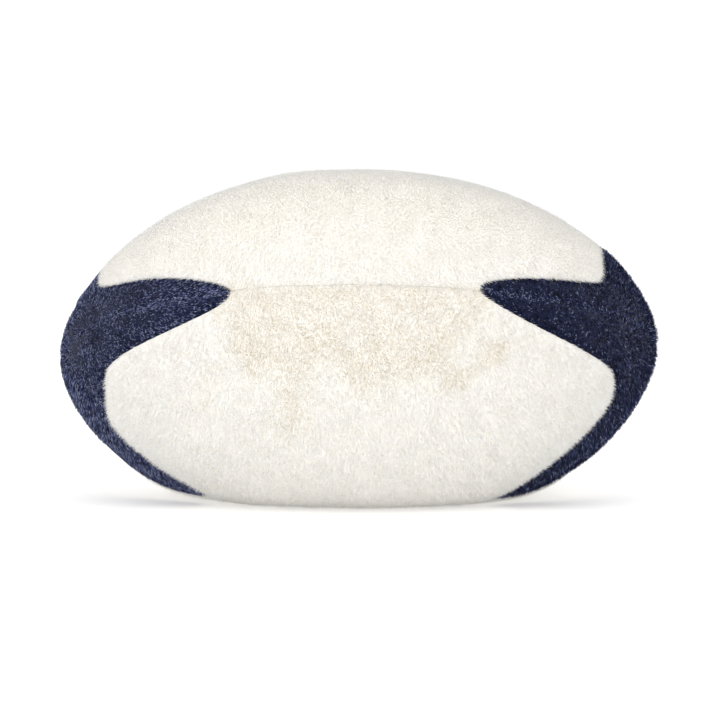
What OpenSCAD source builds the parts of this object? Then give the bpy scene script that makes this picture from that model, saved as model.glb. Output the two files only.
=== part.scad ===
// Plush rugby ball: a stuffed, four-gore ball of short-pile fabric with cream panels and navy ends.
// Frame: +X along the ball's long axis, -Y towards the front, +Z up, origin at the middle of the flat base.

/* [Ball] */
// Length from tip to tip
ball_l = 300; // [240:5:330]
// Width from front to back at the middle
ball_w = 183; // [160:1:200]
// Height the middle would have if the base were still round
ball_h = 182; // [160:1:200]
// How much of the round underside the flat base takes away
base_cut = 17.5; // [10:0.5:22]
// Depth over which the side rolls over into the flat base
base_blend = 8; // [4:0.5:10]
// How far the right tip stands above the middle line, and the left tip below it
tip_rise = 3.75; // [0:0.25:6]
// Fullness of the long profile: 2 is an ellipse, more is fuller
belly = 2.1; // [1.9:0.05:2.4]
// Bluntness of the tips: 0.5 is an ellipse, more is more pointed
tip_point = 0.58; // [0.5:0.01:0.7]

/* [Panels] */
// Thickness of the pile fabric, backing and pile together
plush_t = 4; // [3:0.5:5]
// Depth of the valley along each long seam
seam_dip = 2.3; // [0:0.1:4]
// Clearance between neighbouring panels
panel_gap = 0.3; // [0.2:0.05:0.6]
// Angle of the front long seam above the middle of the front
seam_turn = 25; // [0:1:40]

/* [Threads] */
// Diameter of the seam thread
thread_d = 1; // [0.6:0.1:1.2]
// Length of the hand-sewn opening in the front seam
opening_l = 96; // [60:6:120]
// Length of one step of the ladder stitch that closes the opening
ladder_step = 3; // [2:0.5:5]
// Width of the ladder stitch
ladder_w = 3; // [2:0.5:4]

/* [Filling] */
// Length of the pellet bag
bag_l = 110; // [90:5:120]
// Width of the pellet bag
bag_w = 66; // [56:2:70]
// Height of the filled pellet bag
bag_h = 22; // [18:1:26]
// Thickness of the bag's cloth
cloth_t = 0.6; // [0.5:0.1:1]
// Diameter of one pellet
pellet_d = 8; // [7:0.5:9]

/* [Hidden] */

cream = [0.97, 0.95, 0.91];
navy = [0.17, 0.19, 0.28];
white = [0.93, 0.93, 0.9];

// Gores, counted upwards from the front: 0 front lower, 1 front upper, 2 rear upper, 3 rear lower
FRONT_LOWER = 0;
FRONT_UPPER = 1;
REAR_UPPER = 2;
REAR_LOWER = 3;
LEFT = -1;
RIGHT = 1;
gore_span = 90;
// Shape of each gore's left and right panel end: how far cream reaches along the middle, how square the
// end is, how it runs out into the spikes, and how it leans. Cutting and sewing by hand leave them unequal.
left_ends = [[0.82, 4.5, 2.8, 0], [0.86, 6.5, 1.75, 0.22], [0.85, 3.5, 2.2, 0.05], [0.84, 3.8, 2.3, 0]];
right_ends = [[0.845, 2.7, 1.5, 0], [0.812, 9, 4.6, 0], [0.84, 4, 2.5, 0], [0.835, 3.6, 2, 0.05]];
// Where the navy spikes end along the base, front, top and rear seam
left_spikes = [0.5, 0.395, 0.47, 0.43];
right_spikes = [0.455, 0.405, 0.47, 0.42];

half_l = ball_l / 2;
half_w = ball_w / 2;
half_h = ball_h / 2;
axis_z = half_h - base_cut;
valley_sharpness = 8;
// Clearances between the panels and the threads, and between the threads and the filling
thread_gap = 0.3;
filling_gap = 0.2;
// Depths below the pile surface
thread_depth = plush_t + thread_gap + thread_d / 2;
filling_depth = plush_t + thread_gap + thread_d + filling_gap;
// Steps of each surface grid
rows_cream = 24;
rows_end = 12;
columns = 14;
rings_filling = 30;
sides_filling = 32;
sides_thread = 5;

// ---- The ball's surface ----

// Radius at share s of half the length, as a share of the middle radius
function profile(s) = pow(max(0, 1 - pow(abs(s), belly)), tip_point);

// Share of half the length at which profile() has a given value
function profile_place(r) = pow(1 - pow(r, 1 / tip_point), 1 / belly);

// Height z held at or above level, with a smooth turn of depth base_blend
function resting(z, level) =
    let (h = max(base_blend - abs(z - level), 0) / base_blend)
    max(z, level) + h * h * base_blend / 4;

// Point at share s of the length and place w across gore g (-1 to 1), depth d below the pile
function skin(s, g, w, d) =
    let (
        turn = gore_angle(g) + w * gore_span / 2,
        r = profile(s) * (1 - seam_dip / half_h * pow(abs(w), valley_sharpness))
    )
    [
        s * (half_l - d),
        -(half_w - d) * r * cos(turn),
        resting(axis_z + tip_rise * pow(s, 3) + (half_h - d) * r * sin(turn), d)
    ];

// Angle of a gore's middle line, from the front upwards
function gore_angle(g) = seam_turn - gore_span / 2 + g * gore_span;

// Direction straight out from the long axis
function outwards(g, w) =
    let (turn = gore_angle(g) + w * gore_span / 2)
    [0, -cos(turn), sin(turn)];

// Share of the half length at which cream changes to navy, w across the gore
function end_curve(g, side, w) =
    let (
        end = side == LEFT ? left_ends[g] : right_ends[g],
        spikes = side == LEFT ? left_spikes : right_spikes,
        spike = spikes[g] + (spikes[(g + 1) % 4] - spikes[g]) * (w + 1) / 2,
        leaning = w - end[3] * (1 - w * w)
    )
    spike + (end[0] - spike) * pow(max(0, 1 - pow(abs(leaning), end[1])), end[2]);

// ---- Fabric panels ----

// Places across a gore, closer together towards the seams
function across(j) = sin(90 * (2 * j / columns - 1));

// Place w drawn in from the seam by half the gap between panels
function trimmed(s, w) = w * max(0, 1 - panel_gap / 2 / (half_h * profile(s) * PI * gore_span / 360));

end_gap = panel_gap / 2 / half_l;
tip_place = profile_place(panel_gap / (half_h * PI * gore_span / 180));

// Grid points of a cream panel at depth d
function cream_points(g, d) = [
    for (i = [0 : rows_cream], j = [0 : columns])
        let (
            along = 2 * i / rows_cream - 1,
            side = along < 0 ? LEFT : RIGHT,
            s = along * (end_curve(g, side, across(j)) - end_gap)
        )
        skin(s, g, trimmed(s, across(j)), d)
];

// Grid points of a navy end at depth d, with the tip as its last point
function navy_points(g, side, d) = [
    for (i = [0 : rows_end - 1], j = [0 : columns])
        let (
            start = end_curve(g, side, across(j)) + end_gap,
            s = start + (tip_place - start) * sin(90 * i / rows_end)
        )
        skin(side * s, g, trimmed(s, across(j)), d),
    skin(side * tip_place, g, 0, d)
];

// Two triangles over the four corners a, b, c, d
function quad(a, b, c, d) = [[a, b, c], [a, c, d]];

function joined(lists) = [for (l = lists, e = l) e];

function turned_over(faces, yes) = yes ? [for (f = faces) [f[2], f[1], f[0]]] : faces;

// Faces of a shell between an outer and an inner grid of rows + 1 by columns + 1 points
function sheet_faces(rows, cols) =
    let (
        n = cols + 1,
        m = (rows + 1) * n
    )
    joined([
        for (i = [0 : rows - 1], j = [0 : cols - 1])
            let (k = i * n + j)
            joined([
                quad(k, k + n, k + n + 1, k + 1),
                quad(m + k, m + k + 1, m + k + n + 1, m + k + n)
            ]),
        for (i = [0 : rows - 1])
            let (
                k = i * n,
                e = i * n + cols
            )
            joined([
                quad(k, m + k, m + k + n, k + n),
                quad(e, e + n, m + e + n, m + e)
            ]),
        for (j = [0 : cols - 1])
            let (e = rows * n + j)
            joined([
                quad(j, j + 1, m + j + 1, m + j),
                quad(e, m + e, m + e + 1, e + 1)
            ])
    ]);

// Faces of a shell whose last row is the single point at the ball's tip
function tip_faces(rows, cols) =
    let (
        n = cols + 1,
        tip = rows * n,
        m = tip + 1,
        last = (rows - 1) * n
    )
    joined([
        for (i = [0 : rows - 2], j = [0 : cols - 1])
            let (k = i * n + j)
            joined([
                quad(k, k + n, k + n + 1, k + 1),
                quad(m + k, m + k + 1, m + k + n + 1, m + k + n)
            ]),
        for (j = [0 : cols - 1])
            [
                [last + j, tip, last + j + 1],
                [m + last + j, m + last + j + 1, m + tip]
            ],
        for (i = [0 : rows - 1])
            let (
                k = i * n,
                e = i * n + cols,
                k_next = i < rows - 1 ? k + n : tip,
                e_next = i < rows - 1 ? e + n : tip
            )
            joined([
                quad(k, m + k, m + k_next, k_next),
                quad(e, e_next, m + e_next, m + e)
            ]),
        for (j = [0 : cols - 1])
            quad(j, j + 1, m + j + 1, m + j)
    ]);

module cream_panel(g) {
    color(cream)
        polyhedron(
            points = concat(cream_points(g, 0), cream_points(g, plush_t)),
            faces = sheet_faces(rows_cream, columns)
        );
}

module navy_end(g, side) {
    color(navy)
        polyhedron(
            points = concat(navy_points(g, side, 0), navy_points(g, side, plush_t)),
            faces = turned_over(tip_faces(rows_end, columns), side == LEFT)
        );
}

// ---- Threads ----

function unit(v) = v / norm(v);

// A tube of radius r along a path of [point, outward direction] pairs
module tube(path, r) {
    last = len(path) - 1;
    rings = [
        for (i = [0 : last])
            let (
                way = unit(path[min(i + 1, last)][0] - path[max(i - 1, 0)][0]),
                out = unit(path[i][1] - (path[i][1] * way) * way),
                aside = cross(way, out)
            )
            for (k = [0 : sides_thread - 1])
                let (a = 360 * k / sides_thread)
                path[i][0] + r * (cos(a) * out + sin(a) * aside)
    ];
    body = joined([
        for (i = [0 : last - 1], k = [0 : sides_thread - 1])
            let (
                a = i * sides_thread + k,
                b = i * sides_thread + (k + 1) % sides_thread
            )
            quad(a, b, b + sides_thread, a + sides_thread)
    ]);
    caps = [
        for (k = [1 : sides_thread - 2])
            each [
                [0, k + 1, k],
                [last * sides_thread, last * sides_thread + k, last * sides_thread + k + 1]
            ]
    ];
    polyhedron(points = rings, faces = turned_over(concat(body, caps), true));
}

// Share of the half length at which the long seams end, and share of the gore at which the end seams stop
seam_end = 0.985;
end_seam_stop = 0.985;
opening_share = opening_l / ball_l;
seam_steps = 36;
end_seam_steps = 20;

// Lockstitch along the upper long seam of gore g, between two shares of the half length
module long_seam(g, from, to, steps) {
    color(white)
        tube([
            for (i = [0 : steps])
                let (s = from + (to - from) * i / steps)
                [skin(s, g, 1, thread_depth), outwards(g, 1)]
        ], thread_d / 2);
}

// The front seam is left open in the middle for stuffing
module seam_thread_front() {
    long_seam(FRONT_LOWER, -seam_end, -opening_share, seam_steps / 3);
    long_seam(FRONT_LOWER, opening_share, seam_end, seam_steps / 3);
}

module seam_thread_top() {
    long_seam(FRONT_UPPER, -seam_end, seam_end, seam_steps);
}

module seam_thread_rear() {
    long_seam(REAR_UPPER, -seam_end, seam_end, seam_steps);
}

module seam_thread_base() {
    long_seam(REAR_LOWER, -seam_end, seam_end, seam_steps);
}

// Ladder stitch that closes the opening the ball was stuffed through
module closing_stitch() {
    steps = floor((opening_l - 2 * thread_d) / ladder_step / 2) * 2;
    start = -steps * ladder_step / 2;
    side_w = ladder_w / 2 / (half_h * PI * gore_span / 360);
    color(white)
        tube([
            for (i = [0 : steps], leg = [0, 1])
                let (
                    s = (start + i * ladder_step) / half_l,
                    w = 1 + side_w * ((i + leg) % 2 == 0 ? -1 : 1),
                    over = w > 1
                )
                [
                    over
                        ? skin(s, FRONT_UPPER, w - 2, thread_depth)
                        : skin(s, FRONT_LOWER, w, thread_depth),
                    outwards(FRONT_LOWER, w)
                ]
        ], thread_d / 2);
}

// Lockstitch along the curve between a cream panel and a navy end
module end_thread(g, side) {
    color(white)
        tube([
            for (i = [0 : end_seam_steps])
                let (w = end_seam_stop * sin(90 * (2 * i / end_seam_steps - 1)))
                [skin(side * end_curve(g, side, w), g, w, thread_depth), outwards(g, w)]
        ], thread_d / 2);
}

// ---- Filling ----

bag_floor = filling_depth;
// Room left round the pellet bag in the filling
recess_gap = 1.5;
// Width of the sewn rim round the bag, and the height of its upper face
flange = 4;
flange_top = bag_floor + 2 * cloth_t;
// Radius at which the filling ends in each tip, as a share of its middle radius
filling_tip = 0.02;

module recess() {
    translate([-bag_l / 2 - recess_gap, -bag_w / 2 - recess_gap, 0])
        cube([bag_l + 2 * recess_gap, bag_w + 2 * recess_gap, bag_floor + bag_h + recess_gap]);
}

// Rings from the left to the right tip, closed by a small flat face at each end
module stuffing() {
    reach = profile_place(filling_tip);
    ring_places = [for (i = [0 : rings_filling]) reach * sin(90 * (2 * i / rings_filling - 1))];
    rings = [
        for (s = ring_places, k = [0 : sides_filling - 1])
            let (
                turn = 4 * k / sides_filling,
                g = floor(turn)
            )
            skin(s, g, 2 * (turn - g) - 1, filling_depth)
    ];
    last = rings_filling * sides_filling;
    body = joined([
        for (i = [0 : rings_filling - 1], k = [0 : sides_filling - 1])
            let (
                a = i * sides_filling + k,
                b = i * sides_filling + (k + 1) % sides_filling
            )
            quad(a, a + sides_filling, b + sides_filling, b)
    ]);
    caps = [
        for (k = [1 : sides_filling - 2])
            each [
                [0, k, k + 1],
                [last, last + k + 1, last + k]
            ]
    ];
    polyhedron(points = rings, faces = concat(body, caps));
}

module fibre_filling() {
    color(white)
        difference() {
            stuffing();
            recess();
        }
}

// How square the filled bag is across, and how steeply it rises from its flange
bag_squareness = 4;
bag_bulge = 0.6;
// Clearance between two layers of the bag, and its grid
layer_gap = 0.05;
bag_rows = 18;
bag_columns = 14;

// Height of the filled bag above its flange
function bag_rise(x, y) =
    let (
        u = min(1, abs(x) / (bag_l / 2 - flange)),
        v = min(1, abs(y) / (bag_w / 2 - flange))
    )
    (bag_h - 2 * cloth_t) * bag_swell(u) * bag_swell(v);

function bag_swell(u) = pow(1 - pow(u, bag_squareness), bag_bulge);

// Grid points of the bag's upper cloth, with its rim at height z
function bag_points(z) = [
    for (i = [0 : bag_rows], j = [0 : bag_columns])
        let (
            x = bag_l / 2 * sin(90 * (2 * i / bag_rows - 1)),
            y = bag_w / 2 * sin(90 * (2 * j / bag_columns - 1))
        )
        [x, y, z + bag_rise(x, y)]
];

module pellet_bag_top() {
    color("linen")
        polyhedron(
            points = concat(bag_points(flange_top), bag_points(flange_top - cloth_t + layer_gap)),
            faces = turned_over(sheet_faces(bag_rows, bag_columns), true)
        );
}

module pellet_bag_base() {
    color("linen")
        translate([-bag_l / 2, -bag_w / 2, bag_floor])
            cube([bag_l, bag_w, cloth_t]);
}

// Thickness of the bag's thread, and the distance of its stitch line from the bag's edge
bag_thread_d = thread_d * 0.6;
stitch_inset = flange / 3;

// Stitch line around the bag, on top of its flange
module pellet_bag_thread() {
    color(white)
        translate([0, 0, flange_top + layer_gap])
            linear_extrude(bag_thread_d)
                difference() {
                    stitch_outline(bag_thread_d / 2);
                    stitch_outline(-bag_thread_d / 2);
                }
}

// The rectangle that the bag's stitch line follows, grown by a margin
module stitch_outline(margin) {
    square([bag_l - 2 * stitch_inset + 2 * margin, bag_w - 2 * stitch_inset + 2 * margin], center = true);
}

// Clearance between pellets, and between the pellets and the base cloth
pellet_gap = 0.8;
pellet_lift = 0.2;
// Rise from one layer of pellets to the next, in pellet diameters: the upper one nests in the lower one
nesting = 0.9;
pellet_sides = 24;

// Two nested layers of pellets, only where the bag is high enough over a pellet's shoulder
module pellets() {
    pitch = pellet_d + pellet_gap;
    columns_x = floor((bag_l - 2 * flange) / pitch / 2);
    rows_y = floor((bag_w - 2 * flange) / pitch / 2);
    shoulder = 0.75 * pellet_d / 2;
    color("silver")
        for (layer = [0, 1], i = [-columns_x : columns_x], j = [-rows_y : rows_y]) {
            x = (i + layer / 2) * pitch;
            y = (j + layer / 2) * pitch;
            z = bag_floor + cloth_t + pellet_lift + pellet_d / 2 + layer * nesting * pellet_d;
            room = flange_top - cloth_t + bag_rise(abs(x) + shoulder, abs(y) + shoulder);
            if (room > z + pellet_d / 2)
                translate([x, y, z])
                    sphere(d = pellet_d, $fn = pellet_sides);
        }
}

cream_panel(FRONT_LOWER);  // cream_panel_front_lower
cream_panel(FRONT_UPPER);  // cream_panel_front_upper
cream_panel(REAR_UPPER);  // cream_panel_rear_upper
cream_panel(REAR_LOWER);  // cream_panel_rear_lower
navy_end(FRONT_LOWER, LEFT);  // navy_end_left_front_lower
navy_end(FRONT_UPPER, LEFT);  // navy_end_left_front_upper
navy_end(REAR_UPPER, LEFT);  // navy_end_left_rear_upper
navy_end(REAR_LOWER, LEFT);  // navy_end_left_rear_lower
navy_end(FRONT_LOWER, RIGHT);  // navy_end_right_front_lower
navy_end(FRONT_UPPER, RIGHT);  // navy_end_right_front_upper
navy_end(REAR_UPPER, RIGHT);  // navy_end_right_rear_upper
navy_end(REAR_LOWER, RIGHT);  // navy_end_right_rear_lower
seam_thread_front();
seam_thread_top();
seam_thread_rear();
seam_thread_base();
closing_stitch();
end_thread(FRONT_LOWER, LEFT);  // end_thread_left_front_lower
end_thread(FRONT_UPPER, LEFT);  // end_thread_left_front_upper
end_thread(REAR_UPPER, LEFT);  // end_thread_left_rear_upper
end_thread(REAR_LOWER, LEFT);  // end_thread_left_rear_lower
end_thread(FRONT_LOWER, RIGHT);  // end_thread_right_front_lower
end_thread(FRONT_UPPER, RIGHT);  // end_thread_right_front_upper
end_thread(REAR_UPPER, RIGHT);  // end_thread_right_rear_upper
end_thread(REAR_LOWER, RIGHT);  // end_thread_right_rear_lower
fibre_filling();
pellet_bag_top();
pellet_bag_base();
pellet_bag_thread();
pellets();
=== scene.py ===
"""The looks of a plush rugby ball: its sewn panels, pile and inside parts, with a stage, lights and camera.

Everything is in metres, in the CAD model's frame: +X along the ball, -Y towards the front, +Z up.
A place on the ball is given by two values:
    s     the share of half the length, from -1 at the left tip to 1 at the right tip
    turn  the angle round the ball in degrees, from the front upwards
The cover has four gores, numbered g. The place across a gore is w, from -1 to 1, in the sense of turn.
"""
import math
from collections.abc import Callable
from dataclasses import dataclass

import bmesh
import bpy
import numpy as np
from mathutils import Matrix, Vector


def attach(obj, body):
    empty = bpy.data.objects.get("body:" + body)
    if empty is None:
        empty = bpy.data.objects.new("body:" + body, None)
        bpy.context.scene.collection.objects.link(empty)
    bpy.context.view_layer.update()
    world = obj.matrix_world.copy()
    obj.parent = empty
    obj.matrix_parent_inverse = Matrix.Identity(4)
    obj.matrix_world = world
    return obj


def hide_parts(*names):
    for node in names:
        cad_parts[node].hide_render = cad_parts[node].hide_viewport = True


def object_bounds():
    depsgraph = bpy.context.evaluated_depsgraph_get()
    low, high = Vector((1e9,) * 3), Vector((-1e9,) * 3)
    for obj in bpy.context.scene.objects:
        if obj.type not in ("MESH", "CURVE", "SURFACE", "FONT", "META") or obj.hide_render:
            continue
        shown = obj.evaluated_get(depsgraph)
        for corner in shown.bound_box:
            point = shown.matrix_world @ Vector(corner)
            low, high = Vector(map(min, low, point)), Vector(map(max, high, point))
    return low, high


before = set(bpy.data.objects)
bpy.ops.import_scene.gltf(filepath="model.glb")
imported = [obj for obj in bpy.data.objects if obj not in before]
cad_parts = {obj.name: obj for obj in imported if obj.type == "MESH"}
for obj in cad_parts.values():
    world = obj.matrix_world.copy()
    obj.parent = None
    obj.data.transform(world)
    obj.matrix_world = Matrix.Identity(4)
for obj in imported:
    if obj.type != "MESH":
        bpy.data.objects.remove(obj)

cad_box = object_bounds()

MM = 0.001
TINY = 1e-12  # the least that anything is divided by, so that it is never zero

# ---- The ball's shape, the same rule as in the CAD model ----

low, high = cad_box
BASE_CUT = 17.5 * MM  # how much of the round underside the flat base takes away
HALF_L = (high.x - low.x) / 2
HALF_W = (high.y - low.y) / 2
HALF_H = (high.z + BASE_CUT) / 2
AXIS_Z = HALF_H - BASE_CUT
BASE_BLEND = 8 * MM
TIP_RISE = 3.75 * MM
BELLY = 2.1
TIP_POINT = 0.58
PLUSH_T = 4 * MM
SEAM_DIP = 2.3 * MM
VALLEY_SHARPNESS = 8
SEAM_TURN = 25  # degrees of the front seam above the middle of the front
GORE_TURN = 90  # degrees that a gore takes up
GORES = ("front_lower", "front_upper", "rear_upper", "rear_lower")
LEFT, RIGHT = -1, 1
SIDE_NAMES = {LEFT: "left", RIGHT: "right"}
# Reach, squareness, run-out and lean of each gore's panel end
ENDS = {
    LEFT: ((0.82, 4.5, 2.8, 0), (0.86, 6.5, 1.75, 0.22), (0.85, 3.5, 2.2, 0.05), (0.84, 3.8, 2.3, 0)),
    RIGHT: ((0.845, 2.7, 1.5, 0), (0.812, 9, 4.6, 0), (0.84, 4, 2.5, 0), (0.835, 3.6, 2, 0.05)),
}
# Share of half the length at which the navy spike on the base, front, top and rear seam starts
SPIKES = {LEFT: (0.5, 0.395, 0.47, 0.43), RIGHT: (0.455, 0.405, 0.47, 0.42)}


def profile(s):
    """Radius at share s of half the length, as a share of the middle radius."""
    return np.maximum(0, 1 - np.abs(s) ** BELLY) ** TIP_POINT


def resting(z, level):
    """Height z held at or above level, with a smooth turn."""
    h = np.maximum(BASE_BLEND - np.abs(z - level), 0) / BASE_BLEND
    return np.maximum(z, level) + h * h * BASE_BLEND / 4


def gore_turn(g, w):
    """Angle at place w across gore g."""
    return SEAM_TURN - GORE_TURN / 2 + GORE_TURN * g + GORE_TURN / 2 * w


def place_in_gore(turn):
    """Place across whichever gore holds this angle."""
    return (turn - SEAM_TURN + GORE_TURN) / GORE_TURN % 1 * 2 - 1


def gore_half_width(s):
    """About half the width of a gore."""
    return HALF_H * profile(s) * math.pi / 4


def end_curve(g, side, w):
    """Share of half the length at which cream changes to navy."""
    reach, square, runout, lean = ENDS[side][g]
    spike = SPIKES[side][g] + (SPIKES[side][(g + 1) % 4] - SPIKES[side][g]) * (w + 1) / 2
    leaning = np.abs(w - lean * (1 - w * w))
    return spike + (reach - spike) * np.maximum(0, 1 - leaning**square) ** runout


def skin(s, turn, depth, swell=0.0, valley=1.0):
    """Points this deep under the pile's outer surface, moved out by swell, with that share of each valley."""
    s, turn, depth = np.broadcast_arrays(s, turn, depth)
    w = place_in_gore(turn)
    r = profile(s) * (1 - valley * SEAM_DIP / HALF_H * np.abs(w) ** VALLEY_SHARPNESS)
    a = np.radians(turn)
    x = s * (HALF_L - depth)
    y = -((HALF_W - depth) * r + swell) * np.cos(a)
    z = AXIS_Z + TIP_RISE * s**3 + ((HALF_H - depth) * r + swell) * np.sin(a)
    return np.stack([x, y, resting(z, depth)], -1)


# ---- Stuffing the cover: a cloth simulation of the whole ball, held along its seams ----

SIM_SEED = 7
SIM_RINGS = 96
SIM_SIDES = 120
SIM_REACH = 80  # degrees: the rings' places along the ball are the sines of angles up to this
SIM_FRAMES = 18
SIM_CAP = 3 * MM  # the furthest that a point may move from the sewn shape
COVER_INSET = 0.4 * MM  # how much smaller the cover starts
PUCKER = 1.1 * MM
STITCH_PULL = (-1, 0.4)  # how far a stitch pulls the seam in or lets it out, in puckers
HELD_TIP = 0.975  # the cover is held from this share of half the length
HELD_BASE = 0.5 * MM  # and up to this height
ON_SEAM = 1e-3  # a place this near to w = -1 or 1 is on a seam
FOLD_PASSES = 12  # what is left after blurring this often is shape, and the rest is folds
FOLD_IN, FOLD_OUT = 0.35 * MM, 1 * MM  # the deepest and the highest fold that the pile still covers evenly
CLOTH = {
    "quality": 5,
    "mass": 0.25,
    "tension_stiffness": 25,
    "compression_stiffness": 25,
    "shear_stiffness": 4,
    "bending_stiffness": 0.4,
    "use_pressure": True,
    "uniform_pressure_force": 1.0,
}


def add_mesh(name, points, faces):
    """A mesh object from arrays of points and faces."""
    mesh = bpy.data.meshes.new(name)
    mesh.from_pydata(np.asarray(points).reshape(-1, 3).tolist(), [], np.asarray(faces).tolist())
    mesh.update()
    piece = bpy.data.objects.new(name, mesh)
    bpy.context.scene.collection.objects.link(piece)
    return piece


def ring_faces(rings, sides):
    """Quads of a tube of rings, each of that many sides, facing outwards."""
    ring, side = np.meshgrid(np.arange(rings - 1), np.arange(sides), indexing="ij")
    here = ring * sides + side
    beside = ring * sides + (side + 1) % sides
    return np.stack([here, here + sides, beside + sides, beside], -1).reshape(-1, 4)


def simulate(piece, held):
    """Runs Cloth on the piece, held at those points, and returns the points that it ends with."""
    group = piece.vertex_groups.new(name="held")
    group.add([int(i) for i in held], 1.0, "REPLACE")
    cloth = piece.modifiers.new("Cloth", "CLOTH").settings
    for setting, value in CLOTH.items():
        setattr(cloth, setting, value)
    cloth.vertex_group_mass = "held"
    cloth.effector_weights.gravity = 0
    scene = bpy.context.scene
    for number in range(1, SIM_FRAMES + 1):
        scene.frame_set(number)
    shaped = piece.evaluated_get(bpy.context.evaluated_depsgraph_get())
    points = np.empty(len(shaped.data.vertices) * 3)
    shaped.data.vertices.foreach_get("co", points)
    scene.frame_set(1)
    bpy.data.objects.remove(piece)
    return points.reshape(-1, 3)


def blurred(field, passes):
    """A grid of rings by sides, smoothed with its neighbours."""
    for _ in range(passes):
        ends = np.concatenate([field[:1], field, field[-1:]])
        field = (ends[:-2] + 2 * ends[1:-1] + ends[2:]) / 4
        field = (np.roll(field, 1, 1) + 2 * field + np.roll(field, -1, 1)) / 4
    return field


def stuffed():
    """The rings' places, and how far the stuffed cover's folds stand off the sewn shape at each point."""
    random = np.random.default_rng(SIM_SEED)
    grid = (SIM_RINGS, SIM_SIDES)
    s = np.sin(np.radians(np.linspace(-SIM_REACH, SIM_REACH, SIM_RINGS)))[:, None]
    turn = SEAM_TURN + np.arange(SIM_SIDES)[None, :] * 360 / SIM_SIDES
    on_seam = np.broadcast_to(np.abs(np.abs(place_in_gore(turn)) - 1) < ON_SEAM, grid)
    stitches = random.uniform(*STITCH_PULL, grid) * PUCKER * on_seam
    start = skin(s, turn, 0, stitches - COVER_INSET)
    piece = add_mesh("cover", start, ring_faces(*grid))
    held = np.flatnonzero(on_seam | (np.abs(s) > HELD_TIP) | (start[..., 2] < HELD_BASE))
    ended = simulate(piece, held).reshape(*grid, 3)
    a = np.radians(turn)
    outwards = np.stack([0 * turn, -np.cos(a), np.sin(a)], -1)
    moved = np.clip(((ended - skin(s, turn, 0)) * outwards).sum(-1), -SIM_CAP, SIM_CAP)
    folds = moved - blurred(moved, FOLD_PASSES)
    return s[:, 0], np.clip(folds, -FOLD_IN, FOLD_OUT)


FOLD_RINGS, FOLDS = stuffed()
TIP_FADE = 0.3  # folds and lumps fade out where the ball is thinner than this share of its middle


def lumps(points, seed, wavelengths, count=16):
    """Smooth noise from about -1 to 1 at points, made of waves of these lengths in random directions."""
    random = np.random.default_rng(seed)
    way = random.normal(size=(count, 3))
    way /= np.linalg.norm(way, axis=1)[:, None]
    length = random.uniform(*wavelengths, count)
    phase = random.uniform(0, 2 * math.pi, count)
    waves = np.sin(points @ (way * (2 * math.pi / length)[:, None]).T + phase)
    return waves.sum(-1) * math.sqrt(2 / count) / 2


def folds_at(s, turn):
    """Height of the simulated folds at any place, between the points of their grid."""
    across = (turn - SEAM_TURN) / 360 * SIM_SIDES % SIM_SIDES
    side = np.floor(across).astype(int) % SIM_SIDES
    next_side = (side + 1) % SIM_SIDES
    past_side = across - np.floor(across)
    along = np.interp(s, FOLD_RINGS, np.arange(SIM_RINGS))
    ring = np.minimum(along.astype(int), SIM_RINGS - 2)
    past_ring = along - ring
    near = FOLDS[ring, side] * (1 - past_side) + FOLDS[ring, next_side] * past_side
    far = FOLDS[ring + 1, side] * (1 - past_side) + FOLDS[ring + 1, next_side] * past_side
    return near * (1 - past_ring) + far * past_ring


LUMP_SEED = 3
LUMP_SIZES = (35 * MM, 90 * MM)
LUMP_HEIGHT = 0.4 * MM


def ball(s, turn, depth, valley=1.0):
    """Points on the stuffed ball: the sewn shape, its simulated folds and the filling's soft lumps."""
    s, turn = np.broadcast_arrays(np.asarray(s, float), np.asarray(turn, float))
    fade = np.minimum(1, profile(s) / TIP_FADE)
    folds = folds_at(s, turn) * fade
    soft = lumps(skin(s, turn, 0), LUMP_SEED, LUMP_SIZES) * LUMP_HEIGHT * fade
    return skin(s, turn, depth, folds + soft, valley)


def unit(vectors):
    """The same directions, with a length of 1."""
    return vectors / np.maximum(np.linalg.norm(vectors, axis=-1, keepdims=True), TINY)


def directions(s, turn, valley=1.0):
    """Outward normal, direction towards the right tip and direction of growing turn on the ball."""
    step_s, step_turn = 1e-4, 0.05
    inner = np.clip(s, -1 + 2 * step_s, 1 - 2 * step_s)
    along = unit(ball(inner + step_s, turn, 0, valley) - ball(inner - step_s, turn, 0, valley))
    around = unit(ball(inner, turn + step_turn, 0, valley) - ball(inner, turn - step_turn, 0, valley))
    # At the front, along is +X and around is upwards, so their cross product points to -Y, outwards
    normal = unit(np.cross(along, around))
    return normal, along, np.cross(normal, along)


# ---- Materials ----


def principled(name, colour, roughness, **sockets):
    """A material with one Principled shader, and that shader."""
    material = bpy.data.materials.new(name)
    material.use_nodes = True
    shader = material.node_tree.nodes["Principled BSDF"]
    shader.inputs["Base Color"].default_value = (*colour, 1)
    shader.inputs["Roughness"].default_value = roughness
    for socket, value in sockets.items():
        shader.inputs[socket.replace("_", " ")].default_value = value
    return material, shader


def textured(material, kind, turn=(0, 0, 0), **settings):
    """The value of that kind of texture, in the object's own coordinates and turned by those radians."""
    nodes, links = material.node_tree.nodes, material.node_tree.links
    where = nodes.new("ShaderNodeTexCoord")
    mapping = nodes.new("ShaderNodeMapping")
    mapping.inputs["Rotation"].default_value = turn
    texture = nodes.new(kind)
    for socket, value in settings.items():
        texture.inputs[socket].default_value = value
    links.new(where.outputs["Object"], mapping.inputs["Vector"])
    links.new(mapping.outputs["Vector"], texture.inputs["Vector"])
    return texture.outputs["Fac"]


def noise(material, scale, detail=4.0, roughness=0.6, distortion=0.0):
    """Noise with about scale lumps per metre."""
    settings = {"Scale": scale, "Detail": detail, "Roughness": roughness, "Distortion": distortion}
    return textured(material, "ShaderNodeTexNoise", **settings)


def wave(material, scale, turn=(0, 0, 0), distortion=0.0):
    """Straight ridges across X, turned. Scale 1 gives about 3 ridges per metre."""
    return textured(material, "ShaderNodeTexWave", turn, Scale=scale, Distortion=distortion)


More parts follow.
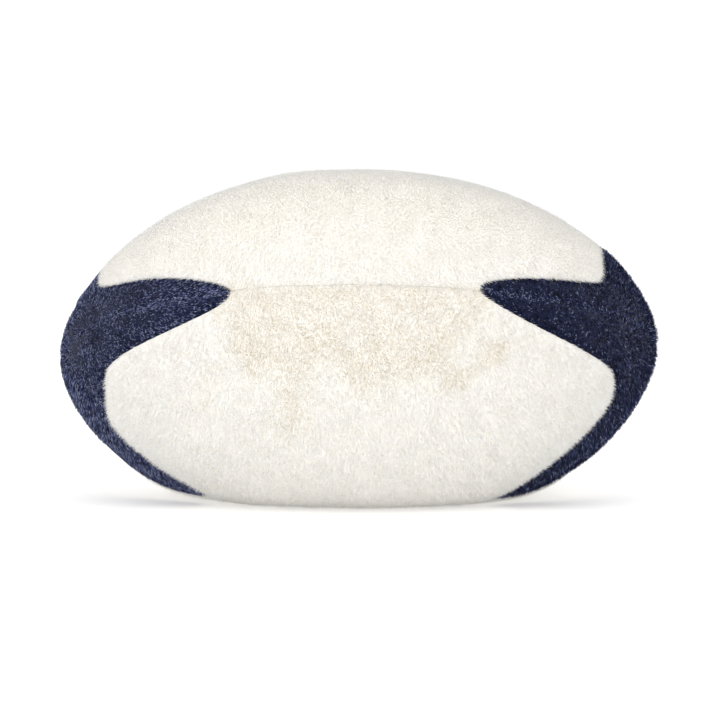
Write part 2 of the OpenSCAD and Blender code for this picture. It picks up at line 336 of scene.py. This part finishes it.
def larger(material, first, second):
    """The larger of two values."""
    node = material.node_tree.nodes.new("ShaderNodeMath")
    node.operation = "MAXIMUM"
    material.node_tree.links.new(first, node.inputs[0])
    material.node_tree.links.new(second, node.inputs[1])
    return node.outputs["Value"]


def ramp(material, factor, stops):
    """A colour ramp over factor, from (place, colour) stops."""
    node = material.node_tree.nodes.new("ShaderNodeValToRGB")
    elements = node.color_ramp.elements
    while len(elements) < len(stops):
        elements.new(0.5)
    for element, (place, colour) in zip(elements, stops):
        element.position = place
        element.color = (*colour, 1)
    material.node_tree.links.new(factor, node.inputs["Fac"])
    return node.outputs["Color"]


def mixed(material, factor, first, second):
    """Two colours mixed by factor."""
    node = material.node_tree.nodes.new("ShaderNodeMix")
    node.data_type = "RGBA"
    links = material.node_tree.links
    links.new(factor, node.inputs["Factor"])
    links.new(first, node.inputs["A"])
    links.new(second, node.inputs["B"])
    return node.outputs["Result"]


def ranged(material, value, low_out, high_out):
    """A value from 0 to 1 moved to a range."""
    node = material.node_tree.nodes.new("ShaderNodeMapRange")
    node.inputs["To Min"].default_value = low_out
    node.inputs["To Max"].default_value = high_out
    material.node_tree.links.new(value, node.inputs["Value"])
    return node.outputs["Result"]


def bumped(material, shader, height, strength, distance):
    """Puts a bump from height on the shader."""
    node = material.node_tree.nodes.new("ShaderNodeBump")
    node.inputs["Strength"].default_value = strength
    node.inputs["Distance"].default_value = distance
    material.node_tree.links.new(height, node.inputs["Height"])
    material.node_tree.links.new(node.outputs["Normal"], shader.inputs["Normal"])


GROUND_FIBRES, GROUND_PATCHES = 1400, 60  # per metre
NAP_PATCHES = 90  # patches of sheen per metre


def plush_ground(name, dark, middle, light):
    """The felted bed of short fibres at the foot of the pile."""
    sockets = {"Sheen_Weight": 0.25, "Sheen_Roughness": 0.5, "Specular_IOR_Level": 0.15}
    material, shader = principled(name, middle, 0.9, **sockets)
    links = material.node_tree.links
    fibres = noise(material, GROUND_FIBRES, detail=6, roughness=0.75, distortion=0.6)
    patches = noise(material, GROUND_PATCHES, detail=2)
    fine = ramp(material, fibres, [(0.3, dark), (0.5, middle), (0.72, light)])
    broad = ramp(material, patches, [(0.35, middle), (0.65, light)])
    blend = ranged(material, patches, 0.15, 0.4)
    links.new(mixed(material, blend, fine, broad), shader.inputs["Base Color"])
    links.new(ranged(material, fibres, 0.8, 1.0), shader.inputs["Roughness"])
    bumped(material, shader, fibres, 0.6, 0.6 * MM)
    return material


CREAM_GROUND = plush_ground(
    "cream_plush_ground",
    dark=(0.85, 0.79, 0.68),
    middle=(0.94, 0.91, 0.85),
    light=(0.97, 0.95, 0.92),
)
NAVY_GROUND = plush_ground(
    "navy_plush_ground",
    dark=(0.004, 0.006, 0.02),
    middle=(0.009, 0.012, 0.04),
    light=(0.02, 0.026, 0.07),
)


def pile_tones(name, tones, roughness, sheen, specular):
    """A fibre material for each tone, as neighbouring fibres differ. The sheen comes and goes in patches."""
    materials = []
    sockets = {"Sheen_Roughness": 0.4, "Specular_IOR_Level": specular}
    for i, tone in enumerate(tones):
        material, shader = principled(f"{name}_{i}", tone, roughness, **sockets)
        patches = noise(material, NAP_PATCHES, detail=2)
        shine = ranged(material, patches, 0, 2 * sheen)
        material.node_tree.links.new(shine, shader.inputs["Sheen Weight"])
        materials.append(material)
    return materials


# From white to beige. The beige ones are mostly painted shade where the pile is parted under the front seam.
CREAM_TONES = pile_tones(
    "cream_pile",
    (
        (0.985, 0.98, 0.965),
        (0.975, 0.965, 0.94),
        (0.96, 0.94, 0.895),
        (0.91, 0.865, 0.775),
        (0.82, 0.75, 0.62),
    ),
    roughness=0.8,
    sheen=0.1,
    specular=0.3,
)
# From dark to pale. Besides the fibres' own spread of tone, the darkest stand in for painted shade between
# tufts, and the palest for painted sheen on light-catching tips.
NAVY_TONES = pile_tones(
    "navy_pile",
    (
        (0.003, 0.006, 0.025),
        (0.018, 0.026, 0.09),
        (0.055, 0.073, 0.185),
        (0.18, 0.21, 0.39),
        (0.4, 0.44, 0.65),
    ),
    roughness=0.6,
    sheen=0.02,
    specular=0.12,
)

# ---- Fabric panels ----

PILE_HEIGHT = 1.3 * MM  # how far the pile stands above the fabric's ground
VALLEY_LEFT = 0.2  # share of a seam's valley that is left once the pile has been brushed up over it
ROLL_DEPTH = 1.2 * MM  # how far a sewn edge turns in
ROLL_WIDTH = 2.2 * MM
CREAM_ROLL, NAVY_ROLL = 0.2, 1.0  # share of that turn on each fabric: the navy tucks under the cream
SEAM_ROLL = 0.3  # share of that turn along the long seams, which lie flatter
SEAM_GAP = 0.15 * MM  # half the gap between two panels
CREAM_ROWS, CREAM_COLUMNS = 200, 100
NAVY_ROWS, NAVY_COLUMNS = 70, 90
TIP_PLACE = 0.99998  # where the navy ends stop short of the tips
MERGED_WITHIN = 1e-6  # points nearer than this become one
NO_EDGE = 1e-7  # edges shorter than this are taken out


def edge_distances(g, s, w):
    """Distance from a place to the nearer long seam and to the nearer end curve, in metres."""
    width = gore_half_width(s)
    to_seam = (1 - np.abs(w)) * width
    nearer = np.where(s < 0, LEFT, RIGHT)
    step_w = 1e-3
    to_end = np.ones(np.shape(s))
    for side in (LEFT, RIGHT):
        before = end_curve(g, side, np.maximum(w - step_w, -1))
        after = end_curve(g, side, np.minimum(w + step_w, 1))
        slope = (after - before) / (2 * step_w)
        flat = np.abs(np.abs(s) - end_curve(g, side, w)) * HALF_L
        steep = np.sqrt(1 + (slope * HALF_L / np.maximum(width, TINY)) ** 2)
        to_end = np.where(nearer == side, flat / steep, to_end)
    return to_seam, to_end


def rolled(g, s, w, share):
    """Depth at which the fabric's ground lies: it turns in along every sewn edge, by that share."""
    to_seam, to_end = edge_distances(g, s, w)
    at_seam = np.exp(-((to_seam / ROLL_WIDTH) ** 2))
    at_end = np.exp(-((to_end / ROLL_WIDTH) ** 2))
    return PILE_HEIGHT + share * ROLL_DEPTH * (SEAM_ROLL * at_seam + at_end)


def closed_sheet(name, outer, inner):
    """A closed shell between two grids of points of the same size."""
    rows, columns = outer.shape[:2]
    i, j = np.meshgrid(np.arange(rows - 1), np.arange(columns - 1), indexing="ij")
    corner = (i * columns + j).ravel()
    below = rows * columns  # added to an outer point's number, this gives the inner point's
    top = np.stack([corner, corner + columns, corner + columns + 1, corner + 1], -1)
    under = np.stack([corner, corner + 1, corner + columns + 1, corner + columns], -1) + below
    rim = np.concatenate([
        np.arange(columns),
        np.arange(1, rows) * columns + columns - 1,
        (rows - 1) * columns + np.arange(columns - 2, -1, -1),
        np.arange(rows - 2, 0, -1) * columns,
    ])
    after = np.roll(rim, -1)
    side = np.stack([rim, after, after + below, rim + below], -1)
    points = np.concatenate([outer.reshape(-1, 3), inner.reshape(-1, 3)])
    return add_mesh(name, points, np.concatenate([top, under, side]))


def outward_faces(piece):
    """Turns every face outwards, merges the points that meet at a tip and shades the piece smooth."""
    mesh = bmesh.new()
    mesh.from_mesh(piece.data)
    bmesh.ops.remove_doubles(mesh, verts=mesh.verts, dist=MERGED_WITHIN)
    bmesh.ops.dissolve_degenerate(mesh, edges=mesh.edges, dist=NO_EDGE)
    bmesh.ops.recalc_face_normals(mesh, faces=mesh.faces)
    mesh.to_mesh(piece.data)
    mesh.free()
    piece.data.polygons.foreach_set("use_smooth", np.ones(len(piece.data.polygons), bool))


def spread(n):
    """n + 1 places from -1 to 1, closer together towards both ends."""
    return np.sin(np.radians(np.linspace(-90, 90, n + 1)))


def trimmed(s, w):
    """Place w drawn in from the seam by half the gap between two panels."""
    return w * np.maximum(0, 1 - SEAM_GAP / np.maximum(gore_half_width(s), TINY))


def panel(name, node, g, s, w, ground, roll):
    """A sewn panel of pile fabric over a grid of places. Its edges turn in by the share roll."""
    w = trimmed(s, w)
    turn = gore_turn(g, w)
    outer = ball(s, turn, rolled(g, s, w, roll), VALLEY_LEFT)
    piece = closed_sheet(name, outer, ball(s, turn, PLUSH_T))
    outward_faces(piece)
    piece.data.materials.append(ground)
    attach(piece, "root")
    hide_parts(node)
    return piece


def cream_places(g):
    """Places s, w over a cream panel."""
    along = np.linspace(-1, 1, CREAM_ROWS + 1)
    along, w = np.meshgrid(along, spread(CREAM_COLUMNS), indexing="ij")
    reach = np.where(along < 0, end_curve(g, LEFT, w), end_curve(g, RIGHT, w)) - SEAM_GAP / HALF_L
    return along * reach, w


def navy_places(g, side):
    """Places s, w over a navy end, from its curve to the tip."""
    along = np.sin(np.radians(np.linspace(0, 90, NAVY_ROWS + 1)))
    along, w = np.meshgrid(along, spread(NAVY_COLUMNS), indexing="ij")
    start = end_curve(g, side, w) + SEAM_GAP / HALF_L
    return side * (start + (TIP_PLACE - start) * along), w


# ---- Pile: how it grows ----

CREAM_DENSITY = 3.2  # tufts per square millimetre
NAVY_DENSITY = 2.6
CREAM_RADIUS = 0.18 * MM  # of a tuft at its foot
NAVY_RADIUS = 0.27 * MM
RADIUS_SPREAD = (0.75, 1.2)
TUFT_LENGTH = 2.5 * MM
LENGTH_SPREAD = (0.72, 1.12)
LENGTH_WAVE = 0.1  # share by which the length changes from place to place
LENGTH_SIZES = (5 * MM, 14 * MM)
CLUMP_SIZES = (1.4 * MM, 3.5 * MM)  # wavelengths of the clumps that neighbouring tufts lean into
SWEEP_SIZES = (8 * MM, 30 * MM)  # wavelengths of the broad sweeps left by hands
TUFT_SINK = 0.35 * MM  # how far a foot stands in the ground
TUFT_SIDES = 3
# A tuft's faces, by its corners: 0, 1 and 2 are at its foot, and 3 is its tip
TUFT_FACES = np.array([[0, 2, 1], [0, 1, 3], [1, 2, 3], [2, 0, 3]])
CLUMP_SEED, SWEEP_SEED, LENGTH_SEED = 11, 23, 41  # added to the seed of a pile
UPRIGHT_SPREAD = (0.75, 1.25)
LEAN_SHARE = 0.62  # how much a tuft's lean counts beside how upright it is
LEAST_RISE = 0.32  # the least that a tuft points outwards
ROLL_LEFT = 0.2  # share of an edge's roll that the pile's feet follow
EDGE_SPLAY = 2.6 * MM  # how near an edge the pile starts to lean over it
EDGE_STRAY = 2.8  # how much more unruly the pile is where cream meets navy
PARTED_STRAY, PARTED_RISE = 0.35, 0.3  # how much more unruly and upright the parted pile is
NAVY_BARE = 0.9 * MM  # the navy pile starts this far from the cream panels, whose pile covers the seam

# Over the resting surface
FLOOR_FOOT = 0.25 * MM  # the least height of a tuft's foot
FLOOR_TIP = 0.05 * MM  # the least height of its tip
FLOOR_ROOM = 0.1 * MM  # a tuft that points down is made shorter, so that it ends at this height
FLOOR_TUFT = 0.9 * MM  # but not shorter than this


@dataclass
class Brush:
    """How one patch of pile lies. The leans below are measured against one brushed lean of 1."""

    along: float  # how far it was brushed towards the right tip, for every 1 round the ball
    around: float  # 1 or -1: brushed in or against the sense of growing turn
    upright: float  # how far it stands up
    clumps: float  # lean of neighbouring tufts into clumps
    sweeps: float  # lean in broad sweeps
    stray: float  # lean of each tuft by itself
    over_seam: float  # lean back over a long seam that the nap runs away from
    over_end: float  # lean over the end curve
    radius: float  # of a tuft at its foot
    painted_lightness: float = 0.0  # painted light or shade, added to what marks its seams or its parting: below 0 it paints the whole patch darker as shade


@dataclass
class Fur:
    """What cream or navy pile is made of."""

    slot: str
    tones: list
    tone_of: Callable  # gives each tuft's tone from its root, how marked it is and a random generator
    end_sense: int  # 1 if over the end curve means towards the tip, or -1 if towards the middle
    marked_at_seams: bool  # if true, its tone is painted paler near the long seams as a painted highlight of the seam ridges; if not, it is painted beige where it is parted, as painted shade


@dataclass
class Roots:
    """Where tufts stand, the directions there, and how near each is to a seam, an end and the place under the
    front seam where the pile stands up and shade is painted.
    """

    s: np.ndarray
    w: np.ndarray
    point: np.ndarray
    normal: np.ndarray
    along: np.ndarray
    around: np.ndarray
    near_seam: np.ndarray
    near_end: np.ndarray
    parted_and_shaded: np.ndarray


def scattered(s, w, g, density, random):
    """Places s, w spread evenly over a grid of places, at that many per square millimetre."""
    points = ball(s, gore_turn(g, w), 0)
    a = points[1:, 1:] - points[:-1, :-1]
    b = points[1:, :-1] - points[:-1, 1:]
    area = (np.linalg.norm(np.cross(a, b), axis=-1) / 2).ravel()
    total = area.sum()
    count = int(total / MM**2 * density)
    wanted = (np.arange(count) + random.random(count)) / count * total
    cell = np.minimum(np.searchsorted(np.cumsum(area), wanted), len(area) - 1)
    i, j = np.divmod(cell, w.shape[1] - 1)
    u, v = random.random((2, count))

    def between(field):
        near = field[i, j] * (1 - u) + field[i + 1, j] * u
        far = field[i, j + 1] * (1 - u) + field[i + 1, j + 1] * u
        return near * (1 - v) + far * v

    return between(s), between(w)


def roots_at(g, s, w):
    """The roots of tufts at places s, w of gore g."""
    turn = gore_turn(g, w)
    to_seam, to_end = edge_distances(g, s, w)
    near_seam = np.exp(-((to_seam / EDGE_SPLAY) ** 2))[:, None]
    near_end = np.exp(-((to_end / EDGE_SPLAY) ** 2))[:, None]
    point = ball(s, turn, rolled(g, s, w, ROLL_LEFT), VALLEY_LEFT)
    normal, along, around = directions(s, turn, VALLEY_LEFT)
    return Roots(s, w, point, normal, along, around, near_seam, near_end, parting_and_painted_shade(point))


def wavy(points, seed, wavelengths):
    """A smooth random vector at each point."""
    return np.stack([lumps(points, seed + k, wavelengths) for k in range(3)], -1)


def brushed(roots, brush, fur, seed, random):
    """The direction of each tuft."""
    count = len(roots.s)
    shape = (count, 3)
    clumps = wavy(roots.point, seed + CLUMP_SEED, CLUMP_SIZES) * brush.clumps
    sweeps = wavy(roots.point, seed + SWEEP_SEED, SWEEP_SIZES) * brush.sweeps
    stray = random.normal(0, brush.stray, shape) * (1 + EDGE_STRAY * roots.near_end)
    lean = unit(brush.along * roots.along + brush.around * roots.around) + (clumps + sweeps) + stray
    away = roots.near_seam * (np.sign(roots.w) == -brush.around)[:, None]
    lean -= brush.over_seam * away * brush.around * roots.around
    end_way = np.sign(roots.s)[:, None] * fur.end_sense
    lean += brush.over_end * roots.near_end * end_way * roots.along
    lean += PARTED_STRAY * roots.parted_and_shaded[:, None] * random.normal(size=shape)
    upright = brush.upright * random.uniform(*UPRIGHT_SPREAD, count) + PARTED_RISE * roots.parted_and_shaded
    way = unit(upright[:, None] * roots.normal + LEAN_SHARE * lean)
    short_of = np.maximum(LEAST_RISE - (way * roots.normal).sum(1), 0)
    return unit(way + short_of[:, None] * roots.normal)


def tuft_points(roots, way, radius, seed, random):
    """The corners of each tuft's foot, and its tip. Tufts end above the resting surface."""
    count = len(way)
    waves = 1 + LENGTH_WAVE * lumps(roots.point, seed + LENGTH_SEED, LENGTH_SIZES)
    length = TUFT_LENGTH * random.uniform(*LENGTH_SPREAD, count) * waves
    room = np.maximum(roots.point[:, 2] - FLOOR_ROOM, 0)
    length = np.minimum(length, np.maximum(room / np.maximum(-way[:, 2], TINY), FLOOR_TUFT))
    tip = roots.point + way * length[:, None]
    tip[:, 2] = np.maximum(tip[:, 2], FLOOR_TIP)
    foot = roots.point - roots.normal * TUFT_SINK
    foot[:, 2] = np.maximum(foot[:, 2], FLOOR_FOOT)
    aside = unit(np.cross(way, random.normal(size=(count, 3))))
    third = np.cross(way, aside)
    radius = (radius * random.uniform(*RADIUS_SPREAD, count))[:, None]
    angles = [2 * math.pi * k / TUFT_SIDES for k in range(TUFT_SIDES)]
    corners = [foot + radius * (math.cos(a) * aside + math.sin(a) * third) for a in angles]
    return np.stack([*corners, tip], 1)


def tuft_mesh(name, points, tones, tone):
    """A mesh of closed, tapered tufts, from the points and the tone of each."""
    tufts, points_each = points.shape[:2]
    faces = tufts * len(TUFT_FACES)
    corners = np.arange(tufts)[:, None, None] * points_each + TUFT_FACES
    mesh = bpy.data.meshes.new(name)
    mesh.vertices.add(tufts * points_each)
    mesh.vertices.foreach_set("co", points.astype(np.float32).ravel())
    mesh.loops.add(corners.size)
    mesh.loops.foreach_set("vertex_index", corners.ravel().astype(np.int32))
    mesh.polygons.add(faces)
    mesh.polygons.foreach_set("loop_start", np.arange(faces, dtype=np.int32) * TUFT_FACES.shape[1])
    for material in tones:
        mesh.materials.append(material)
    mesh.polygons.foreach_set("material_index", np.repeat(tone, len(TUFT_FACES)).astype(np.int32))
    mesh.polygons.foreach_set("use_smooth", np.ones(faces, bool))
    mesh.update(calc_edges=True)
    piece = bpy.data.objects.new(name, mesh)
    bpy.context.scene.collection.objects.link(piece)
    return piece


def pile(name, g, s, w, fur, brush, seed):
    """Pile over the places s, w: a closed, tapered tuft at each, leaning the way it was brushed."""
    random = np.random.default_rng(seed)
    roots = roots_at(g, s, w)
    way = brushed(roots, brush, fur, seed, random)
    points = tuft_points(roots, way, brush.radius, seed, random)
    # marked is painted light: a painted highlight along the navy seams, or painted shade where the cream pile
    # is parted
    marked = roots.near_seam[:, 0] if fur.marked_at_seams else roots.parted_and_shaded
    tone = fur.tone_of(roots.point, marked + brush.painted_lightness, random)
    piece = tuft_mesh(name, points, fur.tones, tone)
    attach(piece, "root")
    return piece


# ---- Pile: where it is parted and where shade is painted on it, and its tones ----

# The parted band of pile under the front seam, whose beige tones are painted shade of the crease
BAND_HALF_L = 60 * MM
BAND_TOP, BAND_BOTTOM = 112 * MM, 70 * MM
BAND_RAG = 14 * MM  # how far its two ends wander
BAND_DROOP = 12 * MM  # how far its bottom wanders
END_FADE = (-10 * MM, 14 * MM)
TOP_FADE = (-2 * MM, 5 * MM)
BOTTOM_FADE = (-12 * MM, 8 * MM)
BAND_SEED, BAND_SIZES = 61, (12 * MM, 36 * MM)
FINE_SEED, FINE_SIZES = 62, (4 * MM, 9 * MM)
BAND_MEAN, BAND_UNEVEN, BAND_FINE = 0.7, 0.3, 0.25  # its strength, and how much that varies
# The fainter streak of painted beige shade that runs down from it
STREAK_X, STREAK_HALF_W = -29 * MM, 8 * MM
STREAK_BOTTOM, STREAK_FULL = 28 * MM, 50 * MM
STREAK_MEAN, STREAK_FINE = 0.6, 0.3


def faded(value, start, stop):
    """0 up to start, 1 from stop, smooth between."""
    t = np.clip((value - start) / (stop - start), 0, 1)
    return t * t * (3 - 2 * t)


def parting_and_painted_shade(point):
    """1 where the pile under the front seam parts, stands up and shows its beige foot, and where beige tones
    paint the shade of the crease, fading to 0 round it.
    """
    x, y, z = point.T
    uneven = lumps(point, BAND_SEED, BAND_SIZES)
    fine = lumps(point, FINE_SEED, FINE_SIZES)
    across = faded(BAND_HALF_L + BAND_RAG * uneven - np.abs(x), *END_FADE)
    under = faded(z + BAND_DROOP * uneven, BAND_BOTTOM + BOTTOM_FADE[0], BAND_BOTTOM + BOTTOM_FADE[1])
    over = faded(BAND_TOP - z, *TOP_FADE)
    band = across * under * (BAND_MEAN + BAND_UNEVEN * uneven + BAND_FINE * fine)
    narrow = np.exp(-(((x - STREAK_X) / STREAK_HALF_W) ** 2))
    streak = narrow * faded(z, STREAK_BOTTOM, STREAK_FULL) * (STREAK_MEAN + STREAK_FINE * fine)
    return np.clip(np.maximum(band, streak) * over, 0, 1) * (y < 0)


def chosen(chances, random):
    """One index for each row of chances."""
    steps = np.cumsum(chances / chances.sum(1, keepdims=True), 1)
    return (random.random(len(chances))[:, None] > steps).sum(1).clip(0, chances.shape[1] - 1)


# Chances of each tone, in the order of the tones
CREAM_PLAIN = np.array([0.36, 0.44, 0.17, 0.03, 0.0])
# Where the pile is parted, beige tones are painted on as shade
CREAM_PAINTED_SHADE = np.array([0.02, 0.05, 0.18, 0.36, 0.39])
CREAM_PATCH = 0.05
CREAM_PATCH_SEED, CREAM_PATCH_SIZES = 71, (6 * MM, 20 * MM)
# Dark patches are partly painted shade between tufts, and pale patches partly painted sheen
NAVY_DARK_AND_SHADE = np.array([0.52, 0.22, 0.13, 0.09, 0.04])
NAVY_PALE_AND_SHEEN = np.array([0.14, 0.15, 0.24, 0.28, 0.19])
NAVY_PATCH = 0.4
NAVY_PATCH_SEED, NAVY_PATCH_SIZES = 81, (1.5 * MM, 4 * MM)
NAVY_MIDDLE = 0.5  # how far between dark and pale the navy is on average
NAVY_DARKEST = -0.45  # how far past dark the darkest patches go, where a whole end is painted darker as shade
NAVY_MARK = 0.7  # how much the painted light and shade counts
NAVY_FLECKS = 0.02  # the least chance of any tone


def cream_tone(point, parted_and_shaded, random):
    """Each cream tuft's tone: beige where the pile parts under the front seam, as painted shade."""
    patch = lumps(point, CREAM_PATCH_SEED, CREAM_PATCH_SIZES)
    mix = np.clip(parted_and_shaded + CREAM_PATCH * patch, 0, 1)[:, None]
    return chosen(CREAM_PLAIN * (1 - mix) + CREAM_PAINTED_SHADE * mix, random)


def navy_tone(point, painted_lightness, random):
    """Each navy tuft's tone, in small patches of dark and pale, painted paler along the seams as a highlight
    and darker over a whole end as shade.
    """
    patch = lumps(point, NAVY_PATCH_SEED, NAVY_PATCH_SIZES) * NAVY_PATCH + NAVY_MIDDLE
    mix = np.clip(patch + NAVY_MARK * painted_lightness, NAVY_DARKEST, 1)[:, None]
    return chosen(np.maximum(NAVY_DARK_AND_SHADE * (1 - mix) + NAVY_PALE_AND_SHEEN * mix, NAVY_FLECKS), random)


CREAM = Fur("cream_plush", CREAM_TONES, cream_tone, end_sense=1, marked_at_seams=False)
NAVY = Fur("navy_plush", NAVY_TONES, navy_tone, end_sense=-1, marked_at_seams=True)

# ---- The whole cover ----

# The first seeds of the tufts' places and of the tufts
CREAM_PLACES_SEED, CREAM_PILE_SEED = 100, 200
NAVY_PLACES_SEED, NAVY_PILE_SEED = 300, 400
GORE_SEEDS = 10  # how far apart the seeds of two gores are


def downwards(gore):
    """The sense of growing turn that points down at this gore."""
    return -1 if gore.startswith("front") else 1


def cream_brush(gore):
    """The upper panels are smooth, and brushed back over the top seam. The lower ones are rougher."""
    nap = {"along": 0.1, "around": downwards(gore), "over_end": 1.2, "radius": CREAM_RADIUS}
    if gore.endswith("upper"):
        return Brush(upright=0.38, clumps=0.08, sweeps=0.1, stray=0.06, over_seam=0.9, **nap)
    return Brush(upright=0.5, clumps=0.15, sweeps=0.18, stray=0.11, over_seam=0.0, **nap)


def navy_brush(gore, side):
    """Both ends are brushed towards the middle and down. The right one is ruffled and painted darker as
    shade.
    """
    nap = {"along": -2.5 * side, "around": downwards(gore), "over_end": 1.2, "radius": NAVY_RADIUS}
    nap.update(sweeps=0.3, over_seam=0.3)
    if side == LEFT:
        return Brush(upright=0.24, clumps=0.2, stray=0.11, painted_lightness=-0.05, **nap)
    return Brush(upright=0.4, clumps=0.9, stray=0.25, painted_lightness=-1.1, **nap)


def cream_gore(g, gore):
    """A gore's cream panel, with its pile in a left and a right half."""
    s, w = cream_places(g)
    panel(f"cream_fabric_{gore}", f"cream_panel_{gore}", g, s, w, CREAM_GROUND, CREAM_ROLL)
    s, w = scattered(s, w, g, CREAM_DENSITY, np.random.default_rng(CREAM_PLACES_SEED + g))
    for side in (LEFT, RIGHT):
        half = s * side > 0
        name = f"cream_pile_{gore}_{SIDE_NAMES[side]}"
        seed = CREAM_PILE_SEED + GORE_SEEDS * g + side
        pile(name, g, s[half], w[half], CREAM, cream_brush(gore), seed)


def navy_gore(g, gore, side):
    """A gore's navy end at one tip, with its pile."""
    name = f"{SIDE_NAMES[side]}_{gore}"
    place_seed = NAVY_PLACES_SEED + GORE_SEEDS * g + side
    pile_seed = NAVY_PILE_SEED + GORE_SEEDS * g + side
    s, w = navy_places(g, side)
    panel(f"navy_fabric_{name}", f"navy_end_{name}", g, s, w, NAVY_GROUND, NAVY_ROLL)
    s, w = scattered(s, w, g, NAVY_DENSITY, np.random.default_rng(place_seed))
    away = edge_distances(g, s, w)[1] > NAVY_BARE
    pile(f"navy_pile_{name}", g, s[away], w[away], NAVY, navy_brush(gore, side), pile_seed)


for g, gore in enumerate(GORES):
    cream_gore(g, gore)
    for side in (LEFT, RIGHT):
        navy_gore(g, gore, side)

# ---- Parts inside: their CAD shapes, in thread, fibre, cloth and plastic ----

THREAD_TWIST = 450  # a ridge about every 0.7 mm
WEAVE = 380  # a thread about every 0.8 mm
WEAR_PATCHES, WORN_PATCHES = 40, 25  # per metre
MOST_WEAR = 0.35


def thread_pattern(material):
    """Slanting ridges of twisted thread."""
    return wave(material, THREAD_TWIST, turn=(0, 0.7, 0.7), distortion=1.5)


def fibre_pattern(material):
    """Tangled loose fibres."""
    return noise(material, 260, detail=8, roughness=0.8, distortion=2.5)


def weave_pattern(material):
    """Two sets of threads that cross."""
    return larger(material, wave(material, WEAVE), wave(material, WEAVE, turn=(0, 0, math.pi / 2)))


def grain_pattern(material):
    """The fine grain of moulded plastic."""
    return noise(material, 900, detail=2)


def patterned(name, pattern_of, colours, roughness, bump, sheen=0.0):
    """A material whose colour, roughness and bump all follow one pattern. bump is its strength and height."""
    stops = [(place, colour) for place, colour in colours.items()]
    material, shader = principled(name, stops[1][1], roughness[0], Sheen_Weight=sheen)
    links = material.node_tree.links
    pattern = pattern_of(material)
    wear = ranged(material, noise(material, WEAR_PATCHES, detail=3), 0, MOST_WEAR)
    worn = ramp(material, noise(material, WORN_PATCHES, detail=2), stops)
    links.new(mixed(material, wear, ramp(material, pattern, stops), worn), shader.inputs["Base Color"])
    links.new(ranged(material, pattern, *roughness), shader.inputs["Roughness"])
    bumped(material, shader, pattern, *bump)
    return material


THREAD = patterned(
    "sewing_thread",
    thread_pattern,
    colours={0.2: (0.66, 0.63, 0.55), 0.5: (0.85, 0.83, 0.77), 0.8: (0.93, 0.91, 0.87)},
    roughness=(0.65, 0.4),
    bump=(0.5, 0.2 * MM),
    sheen=0.2,
)
FIBRE = patterned(
    "polyester_fibre",
    fibre_pattern,
    colours={0.3: (0.74, 0.74, 0.73), 0.5: (0.88, 0.88, 0.87), 0.7: (0.96, 0.96, 0.96)},
    roughness=(0.95, 0.75),
    bump=(1.0, 2 * MM),
    sheen=0.3,
)
BAG_CLOTH = patterned(
    "bag_cloth",
    weave_pattern,
    colours={0.3: (0.5, 0.46, 0.37), 0.6: (0.74, 0.7, 0.62), 0.9: (0.83, 0.8, 0.73)},
    roughness=(0.95, 0.8),
    bump=(0.6, 0.15 * MM),
    sheen=0.15,
)
PLASTIC = patterned(
    "pellet_plastic",
    grain_pattern,
    colours={0.3: (0.7, 0.7, 0.7), 0.5: (0.8, 0.8, 0.8), 0.7: (0.86, 0.86, 0.87)},
    roughness=(0.45, 0.3),
    bump=(0.15, 0.05 * MM),
)
# The first word that a node's name holds says what it is made of, so the bag's thread is thread
INSIDE = {"thread": THREAD, "stitch": THREAD, "filling": FIBRE, "bag": BAG_CLOTH, "pellets": PLASTIC}
COVER_NODES = ("cream_panel", "navy_end")


def inside_material(node):
    """The material of a carried-over node, by its name."""
    return next(material for word, material in INSIDE.items() if word in node)


for node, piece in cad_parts.items():
    if not node.startswith(COVER_NODES):
        piece.data.materials.clear()
        piece.data.materials.append(inside_material(node))

# ---- Stage, lights and camera ----

LENS, SENSOR = 152, 36
CAMERA_DISTANCE = 1.5
CAMERA_TURN, CAMERA_RISE = math.radians(1.5), math.radians(4.5)
CAMERA_TARGET = Vector((-1.4 * MM, 0, 71.4 * MM))
PILE_BOUNCES = 12  # light goes deep into white pile
FLOOR_HALF = 4
FLOOR_WHITE = (0.9, 0.9, 0.9)
FLOOR_GLOW = 0.29
STUDIO_LIGHT = 1.02
WHITE = (1, 1, 1, 1)

corners = [(x * FLOOR_HALF, y * FLOOR_HALF, 0) for x, y in ((-1, -1), (1, -1), (1, 1), (-1, 1))]
floor = add_mesh("floor", corners, [(0, 1, 2, 3)])
paper, shader = principled("white_paper", FLOOR_WHITE, 0.95)
shader.inputs["Emission Color"].default_value = WHITE
shader.inputs["Emission Strength"].default_value = FLOOR_GLOW
floor.data.materials.append(paper)

world = bpy.data.worlds.new("studio")
world.use_nodes = True
world.node_tree.nodes["Background"].inputs["Color"].default_value = WHITE
world.node_tree.nodes["Background"].inputs["Strength"].default_value = STUDIO_LIGHT
bpy.context.scene.world = world


def soft_light(name, place, size, power):
    """A square soft box aimed at the middle of the ball."""
    lamp = bpy.data.lights.new(name, "AREA")
    lamp.size = size
    lamp.energy = power
    box = bpy.data.objects.new(name, lamp)
    box.location = place
    box.rotation_mode = "QUATERNION"
    box.rotation_quaternion = (CAMERA_TARGET - Vector(place)).to_track_quat("-Z", "Y")
    bpy.context.scene.collection.objects.link(box)


soft_light("top_light", place=(0.1, -0.5, 1.7), size=1.4, power=3.5)
soft_light("front_light", place=(-0.3, -2.2, 0.3), size=0.8, power=12.6)

camera = bpy.data.objects.new("camera", bpy.data.cameras.new("camera"))
camera.data.lens = LENS
camera.data.sensor_width = SENSOR
back = Vector((
    math.sin(CAMERA_TURN) * math.cos(CAMERA_RISE),
    -math.cos(CAMERA_TURN) * math.cos(CAMERA_RISE),
    math.sin(CAMERA_RISE),
))
camera.location = CAMERA_TARGET + back * CAMERA_DISTANCE
camera.rotation_mode = "QUATERNION"
camera.rotation_quaternion = (-back).to_track_quat("-Z", "Y")
bpy.context.scene.collection.objects.link(camera)
bpy.context.scene.camera = camera
bpy.context.scene.view_settings.view_transform = "Standard"
bpy.context.scene.cycles.diffuse_bounces = PILE_BOUNCES
